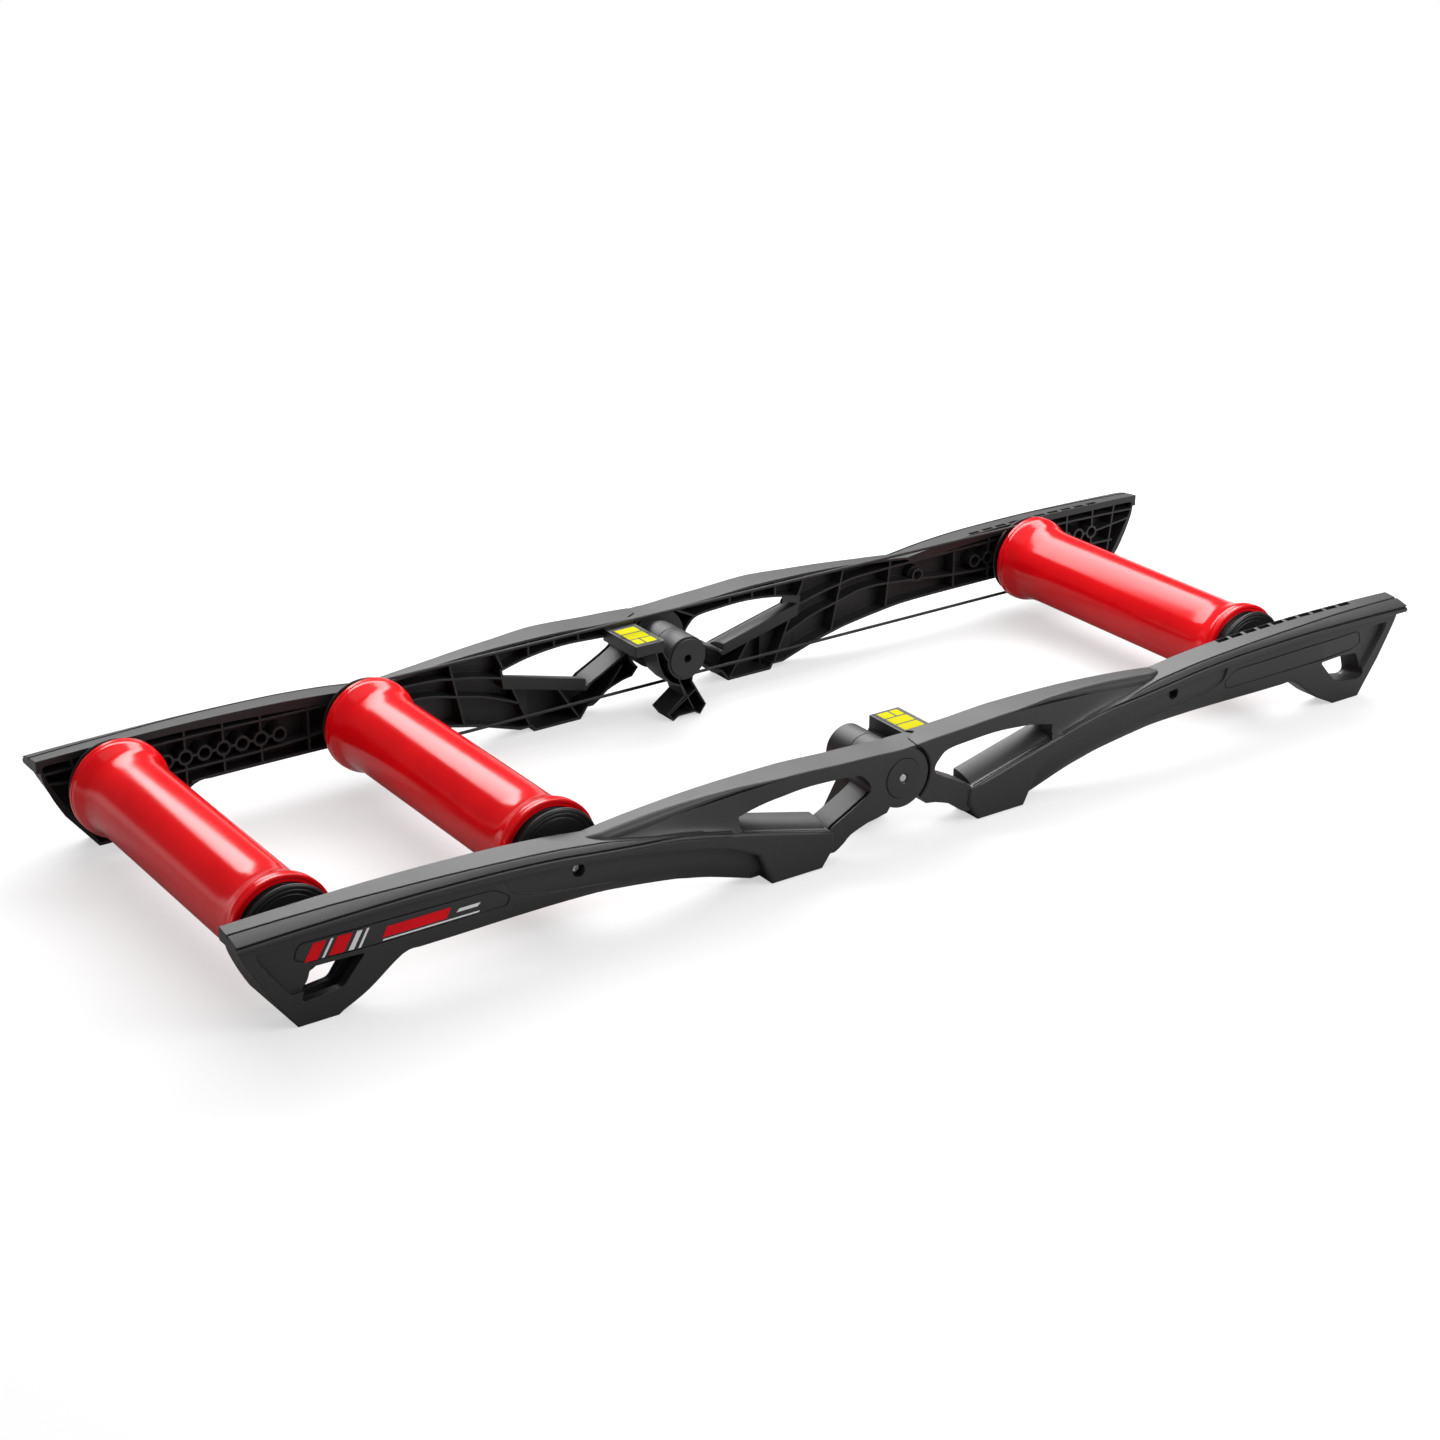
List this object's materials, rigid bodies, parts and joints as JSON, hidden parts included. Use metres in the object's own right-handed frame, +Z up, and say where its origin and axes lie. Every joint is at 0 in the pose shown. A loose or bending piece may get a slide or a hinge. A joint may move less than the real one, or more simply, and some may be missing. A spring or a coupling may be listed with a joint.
{
  "type": "bike rollers",
  "caption": "Folding bike rollers: red flared drums on axles between ribbed black plastic rails that hinge in the middle, with a drive belt.",
  "frame": {"origin": "on the floor, in the middle between the rails, under the hinge axis", "axes": "+X along the rails towards the front roller, +Y to the left across the frame, +Z up"},
  "size_m": [1.385, 0.463, 0.1181],
  "materials": {
    "black_frame": "satin black moulded plastic",
    "black_cap": "satin black moulded plastic",
    "red_drum": "glossy red with a faint orange peel",
    "steel": "turned bright steel",
    "belt_rubber": "matt black rubber",
    "yellow_label": "plain yellow film"
  },
  "bodies": {
    "rear_frame": {"rear_rail_right": "black_frame", "rear_rail_left": "black_frame", "hinge_pin_right": "steel", "hinge_cover_right": "black_frame", "label_plate_left": "yellow_label", "axle_rear": "steel", "axle_middle": "steel", "axle_spacer_rear_right": "black_cap", "axle_spacer_rear_left": "black_cap", "axle_spacer_middle_right": "black_cap", "axle_spacer_middle_left": "black_cap", "middle_axle_bolt_right": "steel", "middle_axle_bolt_left": "steel", "drive_belt": "belt_rubber"},
    "front_frame": {"front_rail_right": "black_frame", "front_rail_left": "black_frame", "hinge_pin_left": "steel", "hinge_cover_left": "black_frame", "label_plate_right": "yellow_label", "axle_front": "steel", "axle_spacer_front_right": "black_cap", "axle_spacer_front_left": "black_cap"},
    "roller_rear": {"roller_drum_rear": "red_drum", "end_cap_rear_right": "black_cap", "end_cap_rear_left": "black_cap", "bearing_rear_right": "steel", "bearing_rear_left": "steel"},
    "roller_middle": {"roller_drum_middle": "red_drum", "end_cap_middle_right": "black_cap", "end_cap_middle_left": "black_cap", "bearing_middle_right": "steel", "bearing_middle_left": "steel"},
    "roller_front": {"roller_drum_front": "red_drum", "end_cap_front_right": "black_cap", "end_cap_front_left": "black_cap", "bearing_front_right": "steel", "bearing_front_left": "steel"}
  },
  "joints": [
    {"name": "fold", "type": "hinge", "parent": "rear_frame", "child": "front_frame", "pos_m": [0, 0, 0.0685], "axis": [0, 1, 0], "range_deg": [0, 68], "deforming": ["drive_belt"]},
    {"name": "roller_rear_spin", "type": "hinge", "parent": "rear_frame", "child": "roller_rear", "pos_m": [-0.6237, 0, 0.0685], "axis": [0, 1, 0], "continuous": true},
    {"name": "roller_middle_spin", "type": "hinge", "parent": "rear_frame", "child": "roller_middle", "pos_m": [-0.359, 0, 0.0685], "axis": [0, 1, 0], "continuous": true},
    {"name": "roller_front_spin", "type": "hinge", "parent": "front_frame", "child": "roller_front", "pos_m": [0.5037, 0, 0.0685], "axis": [0, 1, 0], "continuous": true}
  ],
  "couplings": [
    {"joint": "roller_front_spin", "follows": "roller_middle_spin", "ratio": 1}
  ]
}
